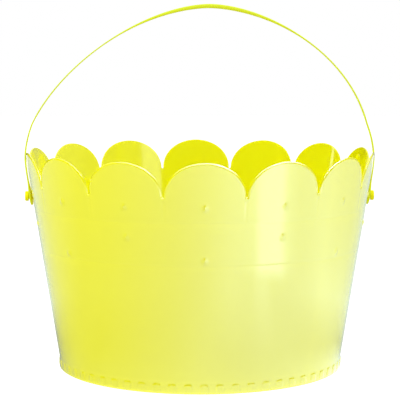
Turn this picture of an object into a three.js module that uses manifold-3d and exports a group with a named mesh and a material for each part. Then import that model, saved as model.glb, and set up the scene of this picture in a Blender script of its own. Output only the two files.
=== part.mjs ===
// Scalloped pail with a swinging strap handle, in millimetres.
// +Z is up, the pail stands on z = 0 and the handle's pivot axis runs along X.
import * as THREE from "three";
import { mergeVertices } from "three/addons/utils/BufferGeometryUtils.js";
import Module from "manifold-3d";

// Pail: a moulded cone on a short upright foot, with a rim of rounded petals.
const RIM_RADIUS = 127;
const BASE_RADIUS = 103.4;
const PEAK_HEIGHT = 157.5;
const VALLEY_HEIGHT = 134.5;
const WALL = 1.3;
const LIP_RADIUS = WALL / 2;
const PETALS = 14;
const FOOT_HEIGHT = 7.5;
const FLOOR_UNDERSIDE = 4;
const FLOOR_THICKNESS = 1.6;
const FLOOR_CORNER = 3;

// Handle: a thin strap bent into an arch, with a wide thick grip at the top and an eye at each end.
// Heights of the arch are counted from the pivot axis.
const PIVOT_HEIGHT = 124;
const ARCH_HALF_SPAN = 127.3;
const ARCH_WIDEST = 28;
const ARCH_APEX = 137.5;
const ARCH_EXPONENT = 1.76;
const SWAY = 6.7;
const SWAY_START = 52;
const SWAY_EXPONENT = 1.1;
const STRAP_WIDTH = 5.5;
const STRAP_THICKNESS = 0.8;
const GRIP_WIDTH = 18;
const GRIP_THICKNESS = 2.9;
const GRIP_HALF_LENGTH = 82;
const EYE_RADIUS = 6.5;
const EYE_THICKNESS = 1.4;
const EYE_HOLE_RADIUS = 2.5;
const EYE_STANDOFF = 1.2;
const NECK_HEIGHT = 13;

// Studs: a round head outside, a shank through the eye and the wall, and a split barbed nose inside.
const HEAD_RADIUS = 3.6;
const HEAD_END = 127.6;
const HEAD_CHAMFER = 0.5;
const SHANK_RADIUS = 2.1;
const WALL_HOLE_RADIUS = 2.4;
const BARB_RADIUS = 2.9;
const NOSE_RADIUS = 1.5;
const NOSE_LENGTH = 4;
const SPLIT_WIDTH = 0.8;
const GAP = 0.3;

// Facets round each kind of surface; the pail's count is a multiple of twice the petals.
const PAIL_SEGMENTS = PETALS * 6;
const PETAL_STEPS = 10;
const ARCH_STEPS = 64;
const NECK_STEPS = 4;
const GRIP_STEPS = 24;
const ROUND_SEGMENTS = 24;
const CORNER_STEPS = 3;

// Points closer than this are one point.
const SAME_POINT = 1e-4;

// Long enough for a cutter to pass right through the pail.
const THROUGH_LENGTH = 3 * RIM_RADIUS;

const YELLOW = 0xf0ee3a;
const DEEP_YELLOW = 0xe9e614;
const ROUGHNESS = 0.3;

const wasm = await Module();
wasm.setup();

// The wall's outer radius at a height above the foot.
const WALL_SLOPE = (RIM_RADIUS - BASE_RADIUS) / (PEAK_HEIGHT - FOOT_HEIGHT);
const WALL_TILT = Math.atan(WALL_SLOPE);

function wallRadius(height) {
  return BASE_RADIUS + WALL_SLOPE * (height - FOOT_HEIGHT);
}

// The eye's middle plane leans like the wall and crosses the pivot axis here.
const EYE_CENTRE = wallRadius(PIVOT_HEIGHT) + EYE_STANDOFF + EYE_THICKNESS / 2;

// A closed geometry as a solid that can be joined and cut.
function solid(geometry) {
  const bare = geometry.clone();
  bare.deleteAttribute("normal");
  bare.deleteAttribute("uv");
  const merged = mergeVertices(bare, SAME_POINT);
  return new wasm.Manifold(
    new wasm.Mesh({
      numProp: 3,
      vertProperties: merged.attributes.position.array,
      triVerts: new Uint32Array(merged.index.array),
    }),
  );
}

function geometryOf(body) {
  const mesh = body.getMesh();
  const geometry = new THREE.BufferGeometry();
  geometry.setAttribute("position", new THREE.BufferAttribute(mesh.vertProperties, 3));
  geometry.setIndex(new THREE.BufferAttribute(mesh.triVerts, 1));
  geometry.computeVertexNormals();
  return geometry;
}

// An outline drawn in X and Z, given a thickness along Y with y = 0 in its middle.
function extrudeAlongY(shape, thickness) {
  const geometry = new THREE.ExtrudeGeometry(shape, { depth: thickness, bevelEnabled: false });
  geometry.translate(0, 0, -thickness / 2);
  geometry.rotateX(Math.PI / 2);
  return geometry;
}

function part(name, body, color) {
  const material = new THREE.MeshStandardMaterial({ color, roughness: ROUGHNESS, metalness: 0 });
  const mesh = new THREE.Mesh(geometryOf(body), material);
  mesh.name = name;
  return mesh;
}

// The pail up to the petal tips, turned from its half section, with the floor raised inside the foot.
function pailBlank() {
  const floorTop = FLOOR_UNDERSIDE + FLOOR_THICKNESS;
  const footInside = BASE_RADIUS - WALL;
  const section = new THREE.Shape();
  section.moveTo(0, FLOOR_UNDERSIDE);
  section.lineTo(footInside - FLOOR_CORNER, FLOOR_UNDERSIDE);
  section.lineTo(footInside, 0);
  section.lineTo(BASE_RADIUS, 0);
  section.lineTo(BASE_RADIUS, FOOT_HEIGHT);
  section.lineTo(wallRadius(PEAK_HEIGHT), PEAK_HEIGHT - LIP_RADIUS);
  section.lineTo(wallRadius(PEAK_HEIGHT) - LIP_RADIUS, PEAK_HEIGHT);
  section.lineTo(wallRadius(PEAK_HEIGHT) - WALL, PEAK_HEIGHT - LIP_RADIUS);
  section.lineTo(footInside, floorTop + FLOOR_CORNER);
  section.quadraticCurveTo(footInside, floorTop, footInside - FLOOR_CORNER, floorTop);
  section.lineTo(0, floorTop);
  const blank = new THREE.LatheGeometry(section.getPoints(CORNER_STEPS), PAIL_SEGMENTS);
  blank.rotateX(Math.PI / 2);
  return solid(blank);
}

// What is cut away between two petals: the space above two quarter-ellipses
// that meet at the valley's bottom.
function valleyOutline() {
  const halfWidth = RIM_RADIUS * Math.sin(Math.PI / PETALS);
  const petalHeight = PEAK_HEIGHT - VALLEY_HEIGHT;
  const outline = new THREE.Shape();
  outline.moveTo(halfWidth, PEAK_HEIGHT + GAP);
  outline.lineTo(-halfWidth, PEAK_HEIGHT + GAP);
  outline.absellipse(-halfWidth, VALLEY_HEIGHT, halfWidth, petalHeight, Math.PI / 2, 0, true);
  outline.absellipse(halfWidth, VALLEY_HEIGHT, halfWidth, petalHeight, Math.PI, Math.PI / 2, true);
  return outline;
}

function pailShell() {
  const outline = new THREE.Shape(valleyOutline().getPoints(PETAL_STEPS));
  const cutter = extrudeAlongY(outline, THROUGH_LENGTH);
  let shell = pailBlank();
  for (let pair = 0; pair < PETALS / 2; pair++) {
    const cut = cutter.clone().rotateZ(Math.PI / 2 + (pair * 2 * Math.PI) / PETALS);
    shell = shell.subtract(solid(cut));
  }
  const radius = WALL_HOLE_RADIUS;
  const bore = new THREE.CylinderGeometry(radius, radius, THROUGH_LENGTH, ROUND_SEGMENTS);
  bore.rotateZ(Math.PI / 2);
  bore.translate(0, 0, PIVOT_HEIGHT);
  return shell.subtract(solid(bore));
}

// The strap sways to one side towards its top, as a strap bent by hand does.
function sway(height) {
  const share = Math.max(0, (height - SWAY_START) / (ARCH_APEX - SWAY_START));
  return SWAY * Math.sin((share * Math.PI) / 2) ** SWAY_EXPONENT;
}

// The arch's middle line as seen from the front, from the eye on +X over the top to the eye on -X.
function archLine() {
  const neckSide = EYE_CENTRE + WALL_SLOPE * NECK_HEIGHT;
  const bendHeight = (ARCH_HALF_SPAN - EYE_CENTRE) / WALL_SLOPE;
  const points = [];
  for (let step = 0; step <= ARCH_STEPS; step++) {
    const angle = (step * Math.PI) / ARCH_STEPS;
    const across = Math.sign(Math.cos(angle)) * Math.abs(Math.cos(angle)) ** (2 / ARCH_EXPONENT);
    const up = Math.abs(Math.sin(angle)) ** (2 / ARCH_EXPONENT);
    const height = ARCH_WIDEST + (ARCH_APEX - ARCH_WIDEST) * up;
    points.push(new THREE.Vector2(ARCH_HALF_SPAN * across + sway(height), height));
  }
  const neck = new THREE.QuadraticBezierCurve(
    new THREE.Vector2(neckSide, NECK_HEIGHT),
    new THREE.Vector2(ARCH_HALF_SPAN, bendHeight),
    new THREE.Vector2(ARCH_HALF_SPAN, ARCH_WIDEST),
  ).getPoints(NECK_STEPS);
  const right = neck.slice(0, -1);
  const left = right.map((point) => new THREE.Vector2(-point.x, point.y)).reverse();
  return [...right, ...points, ...left];
}

// How much of the grip there is at a place along X: 1 in the grip's middle, 0 at its ends.
function gripShare(across) {
  const share = Math.min(1, Math.abs(across - SWAY) / GRIP_HALF_LENGTH);
  return Math.cos((share * Math.PI) / 2) ** 2;
}

// The arch as a band, thicker at the grip, as seen from the front.
function archOutline() {
  const line = archLine();
  const outer = [];
  const inner = [];
  line.forEach((point, index) => {
    const before = line[Math.max(0, index - 1)];
    const after = line[Math.min(line.length - 1, index + 1)];
    const along = after.clone().sub(before).normalize();
    const thickness = STRAP_THICKNESS + (GRIP_THICKNESS - STRAP_THICKNESS) * gripShare(point.x);
    const side = new THREE.Vector2(along.y, -along.x).multiplyScalar(thickness / 2);
    outer.push(point.clone().add(side));
    inner.push(point.clone().sub(side));
  });
  return new THREE.Shape([...outer, ...inner.reverse()]);
}

// The strap's width as seen from above, in X and Y.
function widthOutline() {
  const reach = ARCH_HALF_SPAN + STRAP_WIDTH;
  const front = [new THREE.Vector2(-reach, -STRAP_WIDTH / 2)];
  for (let step = 0; step <= GRIP_STEPS; step++) {
    const across = SWAY + GRIP_HALF_LENGTH * ((2 * step) / GRIP_STEPS - 1);
    const width = STRAP_WIDTH + (GRIP_WIDTH - STRAP_WIDTH) * gripShare(across);
    front.push(new THREE.Vector2(across, -width / 2));
  }
  front.push(new THREE.Vector2(reach, -STRAP_WIDTH / 2));
  const back = front.map((point) => new THREE.Vector2(point.x, -point.y)).reverse();
  return new THREE.Shape([...front, ...back]);
}

// One end of the strap: a flat eye, round below, that narrows upwards into the strap and leans with the wall.
function eyePlate(side) {
  const narrow = STRAP_WIDTH / 2;
  const bend = NECK_HEIGHT / 2;
  const outline = new THREE.Shape();
  outline.moveTo(narrow, NECK_HEIGHT + EYE_RADIUS);
  outline.lineTo(-narrow, NECK_HEIGHT + EYE_RADIUS);
  outline.lineTo(-narrow, NECK_HEIGHT);
  outline.bezierCurveTo(-narrow, bend, -EYE_RADIUS, bend, -EYE_RADIUS, 0);
  outline.absarc(0, 0, EYE_RADIUS, Math.PI, 2 * Math.PI, false);
  outline.bezierCurveTo(EYE_RADIUS, bend, narrow, bend, narrow, NECK_HEIGHT);
  const hole = new THREE.Path();
  hole.absarc(0, 0, EYE_HOLE_RADIUS, 0, 2 * Math.PI, true);
  outline.holes.push(hole);
  const plate = extrudeAlongY(outline, EYE_THICKNESS);
  plate.rotateZ(Math.PI / 2);
  plate.rotateY(side * WALL_TILT);
  plate.translate(side * EYE_CENTRE, 0, PIVOT_HEIGHT);
  return solid(plate);
}

function strapHandle() {
  const arch = extrudeAlongY(archOutline(), GRIP_WIDTH + GAP);
  arch.translate(0, 0, PIVOT_HEIGHT);
  const tall = 2 * PIVOT_HEIGHT + ARCH_APEX;
  const plan = new THREE.ExtrudeGeometry(widthOutline(), { depth: tall, bevelEnabled: false });
  const band = solid(arch).intersect(solid(plan));
  return band.add(eyePlate(1)).add(eyePlate(-1));
}

// A stud turned about X for the side on +X: its points are distance from its axis and place along X.
function studBlank() {
  const headStart = EYE_CENTRE + EYE_THICKNESS / 2 + HEAD_RADIUS * WALL_SLOPE + GAP;
  const barbStart = wallRadius(PIVOT_HEIGHT) - WALL - BARB_RADIUS * WALL_SLOPE - GAP;
  const noseEnd = barbStart - NOSE_LENGTH;
  const section = [
    [0, noseEnd],
    [NOSE_RADIUS, noseEnd],
    [BARB_RADIUS, barbStart - SPLIT_WIDTH],
    [BARB_RADIUS, barbStart],
    [SHANK_RADIUS, barbStart],
    [SHANK_RADIUS, headStart],
    [HEAD_RADIUS, headStart],
    [HEAD_RADIUS, HEAD_END - HEAD_CHAMFER],
    [HEAD_RADIUS - HEAD_CHAMFER, HEAD_END],
    [0, HEAD_END],
  ].map(([radius, place]) => new THREE.Vector2(radius, place));
  const blank = new THREE.LatheGeometry(section, ROUND_SEGMENTS);
  const slot = new THREE.BoxGeometry(2 * BARB_RADIUS + GAP, 2 * NOSE_LENGTH, SPLIT_WIDTH);
  slot.translate(0, noseEnd, 0);
  return solid(blank).subtract(solid(slot));
}

// The stud's own Y axis points outwards, so it is laid along X on its side.
function stud(name, side) {
  const piece = part(name, studBlank(), DEEP_YELLOW);
  piece.rotation.z = (-side * Math.PI) / 2;
  piece.position.z = PIVOT_HEIGHT;
  return piece;
}

const pail = new THREE.Group();
pail.add(part("pail_shell", pailShell(), YELLOW), stud("right_stud", 1), stud("left_stud", -1));

const handle = new THREE.Group();
handle.add(part("strap_handle", strapHandle(), DEEP_YELLOW));

const basket = new THREE.Group();
basket.add(pail, handle);

export default basket;
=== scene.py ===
# The look, light and camera of a scalloped yellow pail with a swinging strap handle.
# Shapes are worked out in millimetres, +Z up, and turned into metres when a mesh is made.
import math

import bpy
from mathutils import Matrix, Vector


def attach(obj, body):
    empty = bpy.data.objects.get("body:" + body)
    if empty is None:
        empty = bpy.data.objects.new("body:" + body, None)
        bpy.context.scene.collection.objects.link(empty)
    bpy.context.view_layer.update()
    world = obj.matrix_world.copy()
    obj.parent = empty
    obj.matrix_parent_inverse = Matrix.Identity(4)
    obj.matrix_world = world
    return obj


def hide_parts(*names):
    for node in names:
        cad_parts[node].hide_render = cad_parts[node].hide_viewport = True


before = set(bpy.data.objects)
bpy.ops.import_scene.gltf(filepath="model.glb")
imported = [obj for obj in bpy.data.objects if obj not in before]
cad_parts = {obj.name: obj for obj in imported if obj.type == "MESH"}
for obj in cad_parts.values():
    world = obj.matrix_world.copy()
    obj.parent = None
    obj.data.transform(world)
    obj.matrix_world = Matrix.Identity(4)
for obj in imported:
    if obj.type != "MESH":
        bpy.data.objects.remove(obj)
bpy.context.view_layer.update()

MM = 0.001

# The pail, as the CAD model has it.
RIM_RADIUS = 127
BASE_RADIUS = 103.4
PEAK_HEIGHT = 157.5
VALLEY_HEIGHT = 134.5
WALL = 1.3
PETALS = 14
FOOT_HEIGHT = 7.5
FLOOR_UNDERSIDE = 4
FLOOR_THICKNESS = 1.6
FLOOR_CORNER = 3

# Rings of points that close the floor's discs, as shares of the foot's radius.
DISC_SHARES = (0.6, 0.3, 0.1)

# The rim's edge: rounded over, a little more on the outside, with a small round at each valley's bottom.
# A narrow flat strip, the hold, keeps the rounding's shading off the wall.
OUTER_ROUNDING = 1.3
INNER_ROUNDING = 0.25
VALLEY_ROUND = 0.8
LIP_STEPS = 4
LIP_FLATNESS = 1.5
LIP_HOLD = 0.3

# Raised pads round the foot.
PADS = 60
PAD_WIDTH = 6
PAD_BOTTOM = 1.2
PAD_TOP = 6.8
PAD_PROUD = 0.3
PAD_CORNER = 2.2
PAD_RAMP = 0.6
PAD_CORNER_SHARES = (1, 0.75, 0.5, 0.3, 0.15, 0)
PAD_OFFSETS = (0, 0.95, 1.9, 2.5, 2.8, 3.15, 4.1)
FOOT_EDGE = 0.4

# Small oval pips on the outside of the wall: one high on each petal, and one lower, which is higher on every
# other petal.
PIP_WIDTH = 4.4
PIP_LENGTH = 7
PIP_PROUD = 0.95
HIGH_PIP = 127.5
LOW_PIPS = (92, 107)

# Fine lines that the mould's parting leaves round the wall.
PARTING_LINES = (88, 117)
PARTING_WIDTH = 0.9
PARTING_DEPTH = 0.08

# A shallow groove from each valley down to the upper parting line.
GROOVE_WIDTH = 2.4
GROOVE_DEPTH = 0.2

# How finely the pail is divided.
PAD_COLUMNS = 2 * len(PAD_OFFSETS)
COLUMNS = PADS * PAD_COLUMNS
PETAL_COLUMNS = COLUMNS // PETALS
VALLEY_COLUMNS = 4
PETAL_ROWS = 8
PETAL_START = 132
FINEST_ROW = 0.5
FINE_ROW = 1
COARSE_ROW = 7
BESIDE_LINE = 1

# The handle, as the CAD model has it. Heights of the arch are counted from the pivot axis.
PIVOT_HEIGHT = 124
ARCH_HALF_SPAN = 127.3
ARCH_WIDEST = 28
ARCH_APEX = 137.5
ARCH_EXPONENT = 1.76
SWAY = 6.7
SWAY_START = 52
SWAY_EXPONENT = 1.1
STRAP_WIDTH = 5.5
STRAP_THICKNESS = 0.8
GRIP_WIDTH = 18
GRIP_THICKNESS = 2.9
GRIP_HALF_LENGTH = 82
EYE_RADIUS = 6.5
EYE_THICKNESS = 1.4
EYE_HOLE_RADIUS = 2.5
EYE_STANDOFF = 1.2
NECK_HEIGHT = 13

# The hollow under the grip, between the rails along its two edges.
GRIP_HOLLOW = 0.8
RAIL_SHARE = 0.7

# The eye starts from nearly nothing at its lower end, and above the hole its stations set off at this many
# times an even pace.
EYE_TIP_SHARE = 0.02
EYE_QUICKENING = 1.5

# How finely the handle is divided, and round edges anywhere.
ARCH_STEPS = 140
NECK_STEPS = 8
EYE_STEPS = 10
FLAT_STEPS = 10
EDGE_STEPS = 5

# The studs, as the CAD model has them.
HEAD_RADIUS = 3.6
HEAD_END = 127.6
HEAD_ROUNDING = 0.6
SHANK_RADIUS = 2.1
WALL_HOLE_RADIUS = 2.4
BARB_RADIUS = 2.9
NOSE_RADIUS = 1.5
NOSE_LENGTH = 4
SPLIT_WIDTH = 0.8
GAP = 0.3
STUD_COLUMNS = 40

WALL_SLOPE = (RIM_RADIUS - BASE_RADIUS) / (PEAK_HEIGHT - FOOT_HEIGHT)


def wall_radius(height):
    return BASE_RADIUS + WALL_SLOPE * (max(height, FOOT_HEIGHT) - FOOT_HEIGHT)


def smooth_step(share):
    share = min(1, max(0, share))
    return share * share * (3 - 2 * share)


def around(angle, radius, height):
    """A point at an angle from the front, -Y, towards the right, +X."""
    return (radius * math.sin(angle), -radius * math.cos(angle), height)


# Making meshes. Edges sharper than this stay sharp when the mesh is shaded.

SMOOTH_UP_TO = math.radians(40)


class Skin:
    """The points and faces of one mesh, built ring by ring."""

    def __init__(self):
        self.points = []
        self.faces = []

    def ring(self, points):
        start = len(self.points)
        self.points.extend(points)
        return list(range(start, len(self.points)))

    def band(self, first, second):
        """Joins two closed rings of the same count with quads."""
        for place, number in enumerate(first):
            after = (place + 1) % len(first)
            self.faces.append((number, first[after], second[after], second[place]))

    def halving_band(self, outer, inner):
        """Joins a closed ring to a smaller one with half its count, on flat ground."""
        for place, number in enumerate(inner):
            before = outer[2 * place]
            middle = outer[2 * place + 1]
            after = outer[(2 * place + 2) % len(outer)]
            self.faces.append((before, middle, after, inner[(place + 1) % len(inner)], number))

    def cap(self, ring):
        self.faces.append(tuple(ring))

    def piece(self, name, material):
        """The finished mesh as a Blender object, in metres, smooth with real edges kept sharp."""
        mesh = bpy.data.meshes.new(name)
        mesh.from_pydata([Vector(point) * MM for point in self.points], [], self.faces)
        mesh.materials.append(material)
        mesh.shade_smooth()
        mesh.set_sharp_from_angle(angle=SMOOTH_UP_TO)
        made = bpy.data.objects.new(name, mesh)
        bpy.context.scene.collection.objects.link(made)
        return made


def cut_away(piece, tool):
    """Cuts one object out of another for good."""
    cut = piece.modifiers.new("cut", "BOOLEAN")
    cut.object = tool
    cut.operation = "DIFFERENCE"
    cut.solver = "EXACT"
    bpy.context.view_layer.update()
    seen = piece.evaluated_get(bpy.context.evaluated_depsgraph_get())
    result = bpy.data.meshes.new_from_object(seen)
    piece.modifiers.clear()
    old = piece.data
    piece.data = result
    bpy.data.meshes.remove(old)
    bpy.data.objects.remove(tool)
    piece.data.set_sharp_from_angle(angle=SMOOTH_UP_TO)


def lathe(skin, section, columns, place):
    """Turns a section of (radius, distance along the axis) pairs; place(angle, radius, along) is a point."""
    rings = []
    for radius, along in section:
        angles = [2 * math.pi * column / columns for column in range(columns)]
        rings.append(skin.ring([place(angle, radius, along) for angle in angles]))
    for first, second in zip(rings, rings[1:]):
        skin.band(first, second)
    skin.cap(rings[0][::-1])
    skin.cap(rings[-1])


def beside_axis(angle, radius, along):
    """A point beside the handle's pivot axis, at an angle from straight below it."""
    return (along, radius * math.sin(angle), PIVOT_HEIGHT - radius * math.cos(angle))


def bore(piece, radius):
    """Drills a round hole along the whole pivot axis, through both sides."""
    drill = Skin()
    reach = ARCH_HALF_SPAN + STRAP_WIDTH
    lathe(drill, [(radius, -reach), (radius, reach)], STUD_COLUMNS, beside_axis)
    cut_away(piece, drill.piece("drill", piece.data.materials[0]))


# The pail.


def foot_angles():
    """The columns' angles at the foot, crowded at the edges of the pads."""
    pitch = 2 * math.pi / PADS
    within = [offset / BASE_RADIUS for offset in PAD_OFFSETS]
    turn = within + [pitch / 2] + [pitch - angle for angle in within[:0:-1]]
    return [pad * pitch + angle for pad in range(PADS) for angle in turn]


def petal_edge(step):
    """A point of a petal's edge: its distance from the petal's middle, its height and its outward normal."""
    half_width = RIM_RADIUS * math.pi / PETALS
    crest_columns = PETAL_COLUMNS // 2 - VALLEY_COLUMNS
    if step <= crest_columns:
        turn = math.pi / 2 * step / crest_columns
        wide = half_width - VALLEY_ROUND
        tall = PEAK_HEIGHT - VALLEY_HEIGHT - VALLEY_ROUND
        normal = Vector((math.sin(turn) / wide, math.cos(turn) / tall)).normalized()
        return wide * math.sin(turn), VALLEY_HEIGHT + VALLEY_ROUND + tall * math.cos(turn), normal
    turn = math.pi / 2 * (PETAL_COLUMNS // 2 - step) / VALLEY_COLUMNS
    normal = Vector((math.sin(turn), math.cos(turn)))
    across = half_width - VALLEY_ROUND * math.sin(turn)
    return across, VALLEY_HEIGHT + VALLEY_ROUND * (1 - math.cos(turn)), normal


def rim_column(column, inset):
    """Angle and height of a column where it is this far in from the rim's edge."""
    petal = round(column / PETAL_COLUMNS)
    offset = column - petal * PETAL_COLUMNS
    across, height, normal = petal_edge(abs(offset))
    along = math.copysign(across - inset * normal.x, offset)
    if offset == 0:
        along = 0
    return 2 * math.pi * petal / PETALS + along / RIM_RADIUS, height - inset * normal.y


def angle_apart(first, second):
    return abs((first - second + math.pi) % (2 * math.pi) - math.pi)


def pip_relief(angle, height):
    """How far the pips raise the wall here."""
    petal = round(angle / (2 * math.pi / PETALS)) % PETALS
    middle = 2 * math.pi * petal / PETALS
    across = angle_apart(angle, middle) * wall_radius(height) / (PIP_WIDTH / 2)
    raised = 0
    for pip_height in (HIGH_PIP, LOW_PIPS[petal % 2]):
        up = (height - pip_height) / (PIP_LENGTH / 2)
        raised += PIP_PROUD * smooth_step(1 - math.hypot(across, up))
    return raised


def parting_relief(height):
    """How far the parting lines sink the wall here."""
    sunk = sum(smooth_step(1 - abs(height - line) / PARTING_WIDTH) for line in PARTING_LINES)
    return -PARTING_DEPTH * sunk


def valley_relief(angle, height):
    """How far the groove that runs down from each valley sinks the wall here."""
    pitch = 2 * math.pi / PETALS
    across = angle_apart(angle, (math.floor(angle / pitch) + 0.5) * pitch) * wall_radius(height)
    ends = smooth_step((height - max(PARTING_LINES)) / GROOVE_WIDTH)
    return -GROOVE_DEPTH * ends * smooth_step(1 - across / (GROOVE_WIDTH / 2))


def pad_relief(angle, height):
    """How far the foot's pads stand out here."""
    pitch = 2 * math.pi / PADS
    across = angle_apart(angle, round(angle / pitch) * pitch) * BASE_RADIUS
    middle = (PAD_TOP + PAD_BOTTOM) / 2
    corner = PAD_CORNER if height > middle else PAD_RAMP
    beyond_side = across - (PAD_WIDTH / 2 - corner)
    beyond_end = abs(height - middle) - ((PAD_TOP - PAD_BOTTOM) / 2 - corner)
    round_corner = math.hypot(max(0, beyond_side), max(0, beyond_end))
    outside = round_corner + min(0, max(beyond_side, beyond_end)) - corner
    return PAD_PROUD * smooth_step(-outside / PAD_RAMP)


def wall_heights():
    """Heights of the outer wall's rows: close together where there is relief, and wide apart elsewhere."""
    reach = PIP_LENGTH / 2 + FINE_ROW
    fine = [(pip - reach, pip + reach) for pip in (*LOW_PIPS, HIGH_PIP)]
    fine += [(line - PARTING_WIDTH, line + PARTING_WIDTH) for line in PARTING_LINES]
    heights = [FOOT_HEIGHT]
    while heights[-1] < PETAL_START - FINE_ROW:
        here = heights[-1]
        if any(low <= here < high for low, high in fine):
            by_line = any(abs(here - line) < BESIDE_LINE for line in PARTING_LINES)
            heights.append(here + (FINEST_ROW if by_line else FINE_ROW))
        else:
            ahead = [low for low, high in fine if low > here]
            heights.append(min([here + COARSE_ROW, *ahead]))
    return heights[1:] + [PETAL_START]


def foot_rows(angles):
    """The foot's rows from its bottom edge to where the cone starts."""
    rows = [[around(angle, BASE_RADIUS - FOOT_EDGE, 0) for angle in angles]]
    heights = [FOOT_EDGE, PAD_BOTTOM - PAD_RAMP / 2, PAD_BOTTOM + PAD_RAMP / 2]
    heights += [PAD_BOTTOM + PAD_RAMP * 2, (PAD_BOTTOM + PAD_TOP) / 2]
    heights += [PAD_TOP - share * PAD_CORNER for share in PAD_CORNER_SHARES]
    heights += [FOOT_HEIGHT - FOOT_EDGE / 2, FOOT_HEIGHT + FOOT_EDGE / 2]
    for height in heights:
        rows.append([around(a, wall_radius(height) + pad_relief(a, height), height) for a in angles])
    return rows


def outer_wall_rows(angles):
    """The outer wall's rows from the foot to the rim's rounding."""
    rows = []
    for height in wall_heights():
        share = smooth_step((height - FOOT_HEIGHT) / (PETAL_START - FOOT_HEIGHT))
        row = []
        for column, foot_angle in enumerate(angles):
            rim_angle = rim_column(column, OUTER_ROUNDING + LIP_HOLD)[0]
            if rim_angle - foot_angle > math.pi:
                rim_angle -= 2 * math.pi
            angle = foot_angle + share * (rim_angle - foot_angle)
            relief = pip_relief(angle, height) + parting_relief(height) + valley_relief(angle, height)
            row.append(around(angle, wall_radius(height) + relief, height))
        rows.append(row)
    for step in range(1, PETAL_ROWS + 1):
        rows.append(petal_row(step / PETAL_ROWS, OUTER_ROUNDING + LIP_HOLD, 0))
    return rows


def petal_row(share, inset, depth):
    """A row part of the way from the petals' start up to the rim, this deep in the wall."""
    row = []
    for column in range(COLUMNS):
        angle, top = rim_column(column, inset)
        height = PETAL_START + share * (top - PETAL_START)
        row.append(around(angle, wall_radius(height) - depth, height))
    return row


def lip_rows():
    """The rim's rounding, from the outer face over the edge to the inner face."""
    rows = []
    for step in range(2 * LIP_STEPS + 1):
        turn = math.pi / 2 * step / LIP_STEPS
        rounding = OUTER_ROUNDING if step < LIP_STEPS else INNER_ROUNDING
        level = math.copysign(abs(math.cos(turn)) ** LIP_FLATNESS, math.cos(turn))
        depth = WALL / 2 * (1 - level)
        rows.append(petal_row(1, rounding * (1 - math.sin(turn) ** LIP_FLATNESS), depth))
    return rows


def inner_wall_rows():
    """The inner wall's rows from the rim down to the floor's rounded corner."""
    hold = INNER_ROUNDING + LIP_HOLD
    rows = [petal_row(step / PETAL_ROWS, hold, WALL) for step in range(PETAL_ROWS, -1, -1)]
    angles = [rim_column(column, hold)[0] for column in range(COLUMNS)]
    floor_top = FLOOR_UNDERSIDE + FLOOR_THICKNESS
    corner_top = floor_top + FLOOR_CORNER
    height = PETAL_START - COARSE_ROW
    while height > corner_top:
        rows.append([around(angle, wall_radius(height) - WALL, height) for angle in angles])
        height -= COARSE_ROW
    inside = wall_radius(corner_top) - WALL
    for step in range(EDGE_STEPS + 1):
        turn = math.pi / 2 * step / EDGE_STEPS
        radius = inside - FLOOR_CORNER * (1 - math.cos(turn))
        rows.append([around(a, radius, corner_top - FLOOR_CORNER * math.sin(turn)) for a in angles])
    return rows


def close_disc(skin, ring, height, faces_up):
    """Fills a level disc inwards from a ring, with half as many points at each smaller radius."""
    start = len(skin.faces)
    for share in DISC_SHARES:
        half = len(ring) // 2
        radius = BASE_RADIUS * share
        inner = skin.ring([around(2 * math.pi * place / half, radius, height) for place in range(half)])
        skin.halving_band(ring, inner)
        ring = inner
    skin.cap(ring)
    if not faces_up:
        skin.faces[start:] = [face[::-1] for face in skin.faces[start:]]


def pail_piece(material):
    skin = Skin()
    angles = foot_angles()
    step = 2 * math.pi / COLUMNS
    even = [column * step for column in range(COLUMNS)]
    foot_inside = BASE_RADIUS - WALL
    under = [
        [around(a, foot_inside - FLOOR_CORNER, FLOOR_UNDERSIDE) for a in even],
        [around(a, foot_inside - FOOT_EDGE / 2, FOOT_EDGE) for a in even],
        [around(a, foot_inside + FOOT_EDGE / 2, 0) for a in even],
    ]
    rows = under + foot_rows(angles) + outer_wall_rows(angles) + lip_rows() + inner_wall_rows()
    rings = [skin.ring(row) for row in rows]
    for lower, upper in zip(rings, rings[1:]):
        skin.band(lower, upper)
    close_disc(skin, rings[-1], FLOOR_UNDERSIDE + FLOOR_THICKNESS, faces_up=True)
    close_disc(skin, rings[0], FLOOR_UNDERSIDE, faces_up=False)
    pail = skin.piece("pail", material)
    bore(pail, WALL_HOLE_RADIUS)
    return pail


# The handle.


def sway(height):
    share = max(0, (height - SWAY_START) / (ARCH_APEX - SWAY_START))
    return SWAY * math.sin(share * math.pi / 2) ** SWAY_EXPONENT


def eye_centre():
    return wall_radius(PIVOT_HEIGHT) + EYE_STANDOFF + EYE_THICKNESS / 2


def grip_share(across):
    share = min(1, abs(across - SWAY) / GRIP_HALF_LENGTH)
    return math.cos(share * math.pi / 2) ** 2


def eye_stations():
    """The eye from its round lower end up to the neck, as (x, height, width, thickness)."""
    stations = []
    for step in range(EYE_STEPS + 1):
        turn = math.pi / 2 * step / EYE_STEPS
        stations.append((-EYE_RADIUS * math.cos(turn), EYE_RADIUS * max(math.sin(turn), EYE_TIP_SHARE)))
    for step in range(1, EYE_STEPS + 1):
        share = step / EYE_STEPS
        up = NECK_HEIGHT * (EYE_QUICKENING * share * (1 - share) + share**3)
        narrowing = smooth_step(share)
        stations.append((up, EYE_RADIUS + (STRAP_WIDTH / 2 - EYE_RADIUS) * narrowing))
    made = []
    for up, half_width in stations:
        thinning = smooth_step(up / NECK_HEIGHT)
        thickness = EYE_THICKNESS + (STRAP_THICKNESS - EYE_THICKNESS) * thinning
        made.append((eye_centre() + WALL_SLOPE * up, up, 2 * half_width, thickness))
    return made


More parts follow.
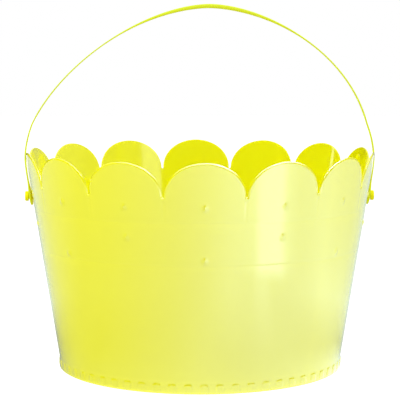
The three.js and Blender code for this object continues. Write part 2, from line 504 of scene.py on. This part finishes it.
def neck_stations():
    """From the top of the eye to the arch's widest place, in a gentle bend."""
    start = Vector((eye_centre() + WALL_SLOPE * NECK_HEIGHT, NECK_HEIGHT))
    bend = Vector((ARCH_HALF_SPAN, (ARCH_HALF_SPAN - eye_centre()) / WALL_SLOPE))
    end = Vector((ARCH_HALF_SPAN, ARCH_WIDEST))
    stations = []
    for step in range(1, NECK_STEPS):
        share = step / NECK_STEPS
        point = start * (1 - share) ** 2 + bend * 2 * share * (1 - share) + end * share**2
        stations.append((point.x, point.y, STRAP_WIDTH, STRAP_THICKNESS))
    return stations


def arch_stations():
    stations = []
    for step in range(ARCH_STEPS + 1):
        turn = math.pi * step / ARCH_STEPS
        across = math.copysign(abs(math.cos(turn)) ** (2 / ARCH_EXPONENT), math.cos(turn))
        up = math.sin(turn) ** (2 / ARCH_EXPONENT) if 0 < step < ARCH_STEPS else 0
        height = ARCH_WIDEST + (ARCH_APEX - ARCH_WIDEST) * up
        x = ARCH_HALF_SPAN * across + sway(height)
        share = grip_share(x)
        width = STRAP_WIDTH + (GRIP_WIDTH - STRAP_WIDTH) * share
        stations.append((x, height, width, STRAP_THICKNESS + (GRIP_THICKNESS - STRAP_THICKNESS) * share))
    return stations


def strap_section(width, thickness, hollow):
    """Points round a flat section with round edges, as (across, outward), from the outer face on."""
    half_width = width / 2
    half_thick = thickness / 2
    rounding = min(half_thick, half_width)
    points = []
    for face in (1, -1):
        for step in range(FLAT_STEPS + 1):
            across = (2 * step / FLAT_STEPS - 1) * (half_width - rounding)
            from_rail = (1 - abs(across) / half_width) / (1 - RAIL_SHARE)
            sunk = hollow * smooth_step(from_rail) if face < 0 else 0
            points.append((face * across, face * (half_thick - sunk)))
        for step in range(1, EDGE_STEPS):
            turn = math.pi * step / EDGE_STEPS
            edge = half_width - rounding + rounding * math.sin(turn)
            points.append((face * edge, face * half_thick * math.cos(turn)))
    return points


def strap_stations():
    """The whole strap's middle line, from the right eye's lower end to the left eye's lower end."""
    right = eye_stations() + neck_stations()
    left = [(-x, height, width, thickness) for x, height, width, thickness in reversed(right)]
    return right + arch_stations() + left


def hollow_depth(height, thickness):
    """How deep the hollow under the grip is where the strap is this thick: none from the arch's foot down."""
    if height <= ARCH_WIDEST:
        return 0
    return GRIP_HOLLOW * (thickness - STRAP_THICKNESS) / (GRIP_THICKNESS - STRAP_THICKNESS)


def strap_piece(material):
    skin = Skin()
    stations = strap_stations()
    rings = []
    for number, (x, height, width, thickness) in enumerate(stations):
        before = stations[max(0, number - 1)]
        after = stations[min(len(stations) - 1, number + 1)]
        along = Vector((after[0] - before[0], after[1] - before[1])).normalized()
        outward = Vector((along.y, -along.x))
        points = []
        for across, out in strap_section(width, thickness, hollow_depth(height, thickness)):
            points.append((x + outward.x * out, across, PIVOT_HEIGHT + height + outward.y * out))
        rings.append(skin.ring(points))
    for first, second in zip(rings, rings[1:]):
        skin.band(second, first)
    skin.cap(rings[0])
    skin.cap(rings[-1][::-1])
    strap = skin.piece("strap", material)
    bore(strap, EYE_HOLE_RADIUS)
    return strap


# The studs.


def stud_section():
    """A stud's half section from nose to head, as (radius, distance from the pail's axis)."""
    head_start = eye_centre() + EYE_THICKNESS / 2 + HEAD_RADIUS * WALL_SLOPE + GAP
    barb = wall_radius(PIVOT_HEIGHT) - WALL - BARB_RADIUS * WALL_SLOPE - GAP
    nose = barb - NOSE_LENGTH
    section = [
        (NOSE_RADIUS - GAP, nose),
        (NOSE_RADIUS, nose + GAP),
        (BARB_RADIUS, barb - SPLIT_WIDTH),
        (BARB_RADIUS, barb),
        (SHANK_RADIUS, barb),
        (SHANK_RADIUS, head_start),
        (HEAD_RADIUS - GAP / 2, head_start),
        (HEAD_RADIUS, head_start + GAP / 2),
    ]
    for step in range(EDGE_STEPS + 1):
        turn = math.pi / 2 * step / EDGE_STEPS
        radius = HEAD_RADIUS - HEAD_ROUNDING * (1 - math.cos(turn))
        section.append((radius, HEAD_END - HEAD_ROUNDING * (1 - math.sin(turn))))
    return section


def stud_piece(name, side, material):
    skin = Skin()

    def place(angle, radius, along):
        return beside_axis(side * angle, radius, side * along)

    section = stud_section()
    lathe(skin, section, STUD_COLUMNS, place)
    stud = skin.piece(name, material)
    slot = Skin()
    nose = section[0][1]
    half = SPLIT_WIDTH / 2
    wide = BARB_RADIUS + GAP
    corners = ((wide, half), (-wide, half), (-wide, -half), (wide, -half))
    ends = (nose - GAP, nose + NOSE_LENGTH - SPLIT_WIDTH)
    rings = [slot.ring([(side * x, y, PIVOT_HEIGHT + z) for y, z in corners]) for x in ends]
    if side < 0:
        rings.reverse()
    slot.band(rings[0], rings[1])
    slot.cap(rings[0][::-1])
    slot.cap(rings[1])
    cut_away(stud, slot.piece("slot", material))
    return stud


# Materials.

# Features to the metre in each layer of a material's look.
TONE_PATCHES = 14
SMEARS = 90
FLOW_WAVES = 26
DRAW_MARKS = 400
GRAIN = 900
PAPER_FIBRES = 300

# How deep the finer layers are beside the flow waves.
DRAW_SHARE = 0.05
GRAIN_SHARE = 0.02

# How the layers are drawn out upwards.
SMEAR_STRETCH = (1, 1, 0.25)
WAVE_STRETCH = (1, 1, 0.4)
DRAW_STRETCH = (1, 1, 0.02)

# How far the smears take the roughness down and up.
SMEAR_LOW = 0.8
SMEAR_HIGH = 1.3

# A thin clear surface over the plastic, light that spreads inside it, and a painted glow: an even emission
# that stands in for light coming through it.
COAT_ROUGHNESS = 0.04
GLOW_RADIUS = (1, 1, 0.25)
GLOW_DEPTH = 0.004
PAINTED_GLOW_COLOUR = (1, 0.72, 0, 1)


class Nodes:
    """A material's node tree, with short ways to add and join nodes."""

    def __init__(self, name):
        self.material = bpy.data.materials.new(name)
        self.material.use_nodes = True
        self.tree = self.material.node_tree
        self.shader = self.tree.nodes["Principled BSDF"]
        self.place = self.tree.nodes.new("ShaderNodeTexCoord").outputs["Object"]

    def link(self, source, target):
        self.tree.links.new(source, target)

    def noise(self, scale, detail=2, stretch=(1, 1, 1)):
        """Noise with this many features to the metre."""
        stretched = self.tree.nodes.new("ShaderNodeMapping")
        stretched.inputs["Scale"].default_value = stretch
        self.link(self.place, stretched.inputs["Vector"])
        noise = self.tree.nodes.new("ShaderNodeTexNoise")
        noise.inputs["Scale"].default_value = scale
        noise.inputs["Detail"].default_value = detail
        self.link(stretched.outputs["Vector"], noise.inputs["Vector"])
        return noise.outputs["Fac"]

    def between(self, share, low, high):
        """Maps a share of 0 to 1 onto a range of numbers."""
        spread = self.tree.nodes.new("ShaderNodeMapRange")
        spread.inputs["To Min"].default_value = low
        spread.inputs["To Max"].default_value = high
        self.link(share, spread.inputs["Value"])
        return spread.outputs["Result"]

    def mixed(self, share, first, second):
        mix = self.tree.nodes.new("ShaderNodeMix")
        mix.data_type = "RGBA"
        mix.inputs["A"].default_value = first
        mix.inputs["B"].default_value = second
        self.link(share, mix.inputs["Factor"])
        return mix.outputs["Result"]

    def bump(self, height, depth, below=None):
        """Bump of this depth in metres, on top of another bump if there is one."""
        bump = self.tree.nodes.new("ShaderNodeBump")
        bump.inputs["Strength"].default_value = 1
        bump.inputs["Distance"].default_value = depth
        self.link(height, bump.inputs["Height"])
        if below is not None:
            self.link(below, bump.inputs["Normal"])
        return bump.outputs["Normal"]


def moulded_plastic(name, pale, deep, wave_depth, roughness, gloss, coat, glow, painted_glow=0):
    """Moulded plastic: slow changes of tone, faint flow waves, upright draw marks and a fine grain."""
    nodes = Nodes(name)
    shader = nodes.shader
    tone = nodes.noise(scale=TONE_PATCHES, detail=3)
    nodes.link(nodes.mixed(tone, (*pale, 1), (*deep, 1)), shader.inputs["Base Color"])
    smear = nodes.noise(scale=SMEARS, detail=4, stretch=SMEAR_STRETCH)
    smeared = nodes.between(smear, roughness * SMEAR_LOW, roughness * SMEAR_HIGH)
    nodes.link(smeared, shader.inputs["Roughness"])
    waves = nodes.bump(nodes.noise(scale=FLOW_WAVES, detail=1, stretch=WAVE_STRETCH), wave_depth)
    marks = nodes.noise(scale=DRAW_MARKS, detail=1, stretch=DRAW_STRETCH)
    draw = nodes.bump(marks, wave_depth * DRAW_SHARE, waves)
    grain = nodes.bump(nodes.noise(scale=GRAIN, detail=3), wave_depth * GRAIN_SHARE, draw)
    nodes.link(grain, shader.inputs["Normal"])
    shader.inputs["Specular IOR Level"].default_value = gloss
    shader.inputs["Coat Weight"].default_value = coat
    shader.inputs["Coat Roughness"].default_value = COAT_ROUGHNESS
    shader.inputs["Subsurface Weight"].default_value = glow
    shader.inputs["Subsurface Radius"].default_value = GLOW_RADIUS
    shader.inputs["Subsurface Scale"].default_value = GLOW_DEPTH
    # Painted glow: a steady emission, not a lamp, that stands in for light coming through the plastic.
    shader.inputs["Emission Color"].default_value = PAINTED_GLOW_COLOUR
    shader.inputs["Emission Strength"].default_value = painted_glow
    return nodes.material


# The studio. Brightness is counted beside white paper's 1, and distances and heights are in millimetres.
# Angles are in degrees, from the front, -Y, towards the right, +X.

FLOOR_REACH = 4000
PALE_PAPER = (0.21, 0.21, 0.21, 1)
GREY_PAPER = (0.19, 0.19, 0.19, 1)
WHITE = (1, 1, 1, 1)
BLACK = (0, 0, 0, 1)

# Soft boxes above, that only matt colour sees.
SOFT_BOX = (800, 800)
LIGHT_AIM = (0, 0, 120)
LIGHT_COLOUR = (1, 0.98, 0.9)
KEY_PLACE = (-880, -715, 1010)
KEY_BRIGHTNESS = 5
FILL_PLACE = (940, 340, 1060)
FILL_BRIGHTNESS = 5.7

# What gloss sees on the table, as pairs of an angle and a brightness: dim behind and on the left, bright on
# the right, with a window's glow at the front right that narrows towards the pail and dies away by its foot.
# A card just above the table pairs each distance from the pail's axis with the brightness round it.
GLOW_HEIGHT = 0.5
SHADE_HEIGHT = 0.8
DAYLIGHT = (0.85, 1, 0.97)
EVEN_WHITE = (1, 1, 1)
FAR_LEFT = ((-175, 0.42), (-160, 0.56), (-145, 0.78), (-130, 0.7), (-80, 0.48), (-58, 0.68))
DIM_SIDE = FAR_LEFT + ((-38, 1), (-15, 1.45), (0, 2), (15, 2.85))
BRIGHT_SIDE = ((60, 2.85), (80, 2.6), (98, 1.7), (115, 1.1), (132, 0.85), (150, 0.8), (165, 0.6), (175, 0.4))
WINDOW_GLOW = DIM_SIDE + ((30, 3.4), (35, 4.9), (47, 4.9), (52, 3.4)) + BRIGHT_SIDE
NARROW_GLOW = DIM_SIDE + ((28, 2.9), (32, 3.4), (37, 3.4), (42, 2.9)) + BRIGHT_SIDE
FOOT_SIDES = ((-175, 0.35), (-90, 0.35), (-60, 0.45), (-38, 0.85), (-15, 1.4), (0, 1.95))
FOOT_GLOW = FOOT_SIDES + ((30, 2.5), (45, 2.4), (60, 1.9), (80, 1.2), (100, 0.65), (175, 0.5))
TABLE_GLOW = (
    (100, FOOT_GLOW),
    (150, FOOT_GLOW),
    (255, NARROW_GLOW),
    (270, NARROW_GLOW),
    (300, WINDOW_GLOW),
    (1400, WINDOW_GLOW),
)

# What matt colour sees on the table.
SHADE = ((-175, 1.2), (-90, 1.15), (-45, 0.6), (0, 0.55), (20, 0.45), (45, 0.55), (90, 0.85), (175, 1))
FOOT_SHADE = ((-175, 1.2), (-90, 1.15), (-45, 0.7), (0, 0.9), (20, 0.9), (45, 0.95), (90, 1), (175, 1))
TABLE_SHADE = ((105, FOOT_SHADE), (160, SHADE), (900, SHADE))

# What gloss sees round the room: nearly nothing low down, but for two slits and a glow straight behind, and
# tall windows above.
ROOM_HEIGHTS = (20, 770)
LEFT_SLIT = ((-178, 1), (-168, 0.1), (-155, 0), (-114, 0), (-113, 2.2), (-112, 2.2), (-111, 0))
RIGHT_SLIT = ((28, 0), (29, 1.2), (42, 1.2), (44, 0.2), (75, 0.2), (100, 0.35), (140, 0.32))
BEHIND = ((168, 0.3), (178, 1))
WINDOW_HEIGHTS = (770, 2800)
WINDOWS = ((-70, 2.5), (-40, 5), (0, 8), (30, 12), (80, 12), (110, 4))
ROOM_RADIUS = 1400


def floor():
    """A wide white table, bright enough to look like plain paper."""
    skin = Skin()
    corners = ((-1, -1), (1, -1), (1, 1), (-1, 1))
    skin.cap(skin.ring([(x * FLOOR_REACH, y * FLOOR_REACH, 0) for x, y in corners]))
    nodes = Nodes("floor_paper")
    paper = nodes.noise(scale=PAPER_FIBRES, detail=2)
    nodes.link(nodes.mixed(paper, GREY_PAPER, PALE_PAPER), nodes.shader.inputs["Base Color"])
    nodes.shader.inputs["Roughness"].default_value = 0.9
    nodes.shader.inputs["Specular IOR Level"].default_value = 0
    nodes.shader.inputs["Emission Color"].default_value = WHITE
    nodes.shader.inputs["Emission Strength"].default_value = 1
    skin.piece("floor", nodes.material)


def sky():
    world = bpy.data.worlds.new("studio")
    world.use_nodes = True
    background = world.node_tree.nodes["Background"]
    background.inputs["Color"].default_value = WHITE
    background.inputs["Strength"].default_value = 1
    bpy.context.scene.world = world


def soft_light(name, place, brightness):
    """A square soft box at a place, in millimetres, that points at the pail."""
    light = bpy.data.lights.new(name, "AREA")
    light.shape = "RECTANGLE"
    light.size, light.size_y = (side * MM for side in SOFT_BOX)
    light.energy = brightness * math.pi * light.size * light.size_y
    light.color = LIGHT_COLOUR
    holder = bpy.data.objects.new(name, light)
    holder.location = Vector(place) * MM
    towards = Vector(LIGHT_AIM) - Vector(place)
    holder.rotation_euler = towards.to_track_quat("-Z", "Y").to_euler()
    holder.visible_camera = False
    holder.visible_glossy = False
    bpy.context.scene.collection.objects.link(holder)


def steady(places, share):
    """Reads a value between known ones, given as pairs in rising order."""
    for (low, first), (high, second) in zip(places, places[1:]):
        if share <= high:
            return first + (second - first) * max(0, share - low) / (high - low)
    return places[-1][1]


def studio_card(name, rows, brightness, colour, seen_by):
    """A glowing card that only gloss or only matt colour sees, as rows of points with a brightness each."""
    skin = Skin()
    rings = [skin.ring(row) for row in rows]
    for first, second in zip(rings, rings[1:]):
        for place in range(len(first) - 1):
            skin.faces.append((first[place], first[place + 1], second[place + 1], second[place]))
    nodes = Nodes(name)
    nodes.shader.inputs["Base Color"].default_value = BLACK
    nodes.shader.inputs["Specular IOR Level"].default_value = 0
    nodes.shader.inputs["Emission Color"].default_value = (*colour, 1)
    glow = nodes.tree.nodes.new("ShaderNodeAttribute")
    glow.attribute_name = "glow"
    nodes.link(glow.outputs["Fac"], nodes.shader.inputs["Emission Strength"])
    card = skin.piece(name, nodes.material)
    values = card.data.attributes.new("glow", "FLOAT", "POINT")
    values.data.foreach_set("value", [value for row in brightness for value in row])
    card.visible_camera = False
    card.visible_shadow = False
    card.visible_transmission = False
    card.visible_diffuse = seen_by == "matt"
    card.visible_glossy = seen_by == "gloss"


def table_card(name, height, rows, colour, seen_by):
    """A card on the table round the pail: for each distance from its axis, brightness by angle."""
    angles = [math.radians(angle) for angle in range(-175, 176)]
    points = [[around(angle, distance, height) for angle in angles] for distance, places in rows]
    brightness = [[steady(places, math.degrees(angle)) for angle in angles] for distance, places in rows]
    studio_card(name, points, brightness, colour, seen_by)


def room_card(name, heights, places):
    """An upright card, curved round the object, that gloss sees, brighter or darker by angle."""
    first, last = places[0][0], places[-1][0]
    angles = [math.radians(angle) for angle in range(first, last + 1)]
    rows = [[around(angle, ROOM_RADIUS, height) for angle in angles] for height in heights]
    brightness = [steady(places, math.degrees(angle)) for angle in angles]
    studio_card(name, rows, [brightness] * len(heights), DAYLIGHT, "gloss")


def studio_light():
    soft_light("key", KEY_PLACE, KEY_BRIGHTNESS)
    soft_light("fill", FILL_PLACE, FILL_BRIGHTNESS)
    table_card("table_glow", GLOW_HEIGHT, TABLE_GLOW, DAYLIGHT, "gloss")
    table_card("table_shade", SHADE_HEIGHT, TABLE_SHADE, EVEN_WHITE, "matt")
    room_card("dark_room", ROOM_HEIGHTS, LEFT_SLIT + RIGHT_SLIT + BEHIND)
    room_card("high_window", WINDOW_HEIGHTS, WINDOWS)


def camera():
    """The point of view, in millimetres: from the front, a little to the left and above."""
    distance = 1068.5
    height = 230.2
    azimuth = math.radians(-1.53)
    aim_height = 120.7
    lens = bpy.data.cameras.new("camera")
    lens.sensor_width = 36
    lens.lens = 131.96
    holder = bpy.data.objects.new("camera", lens)
    holder.location = Vector(around(azimuth, distance, height)) * MM
    aim = Vector((0, 0, aim_height)) * MM
    holder.rotation_euler = (aim - holder.location).to_track_quat("-Z", "Y").to_euler()
    bpy.context.scene.collection.objects.link(holder)
    bpy.context.scene.camera = holder


def dress():
    """Puts every piece in its place on the frame."""
    yellow = moulded_plastic(
        "pail_yellow",
        pale=(0.72, 0.715, 0.0008),
        deep=(0.7, 0.68, 0.0005),
        wave_depth=0.0004,
        roughness=0.1,
        gloss=0.8,
        coat=1,
        glow=0.35,
    )
    strap_yellow = moulded_plastic(
        "strap_yellow",
        pale=(0.33, 0.5, 0.03),
        deep=(0.31, 0.47, 0.02),
        wave_depth=0.0001,
        roughness=0.6,
        gloss=0.03,
        coat=0,
        glow=0,
        # Painted glow on the strap: an even orange emission stands in for light shining through the thin
        # strap, most seen where it lies in shade beside the wall.
        painted_glow=0.35,
    )
    stud_yellow = moulded_plastic(
        "stud_yellow",
        pale=(0.86, 0.8, 0.004),
        deep=(0.83, 0.76, 0.003),
        wave_depth=0.00005,
        roughness=0.5,
        gloss=0.03,
        coat=0,
        glow=0,
    )
    pail = pail_piece(yellow)
    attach(pail, "pail")
    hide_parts("pail_shell")
    strap = strap_piece(strap_yellow)
    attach(strap, "handle")
    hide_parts("strap_handle")
    for name, side in (("right_rivet", 1), ("left_rivet", -1)):
        stud = stud_piece(name, side, stud_yellow)
        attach(stud, "pail")
        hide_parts("right_stud" if side > 0 else "left_stud")


dress()
floor()
sky()
studio_light()
camera()
bpy.context.scene.view_settings.view_transform = "Standard"
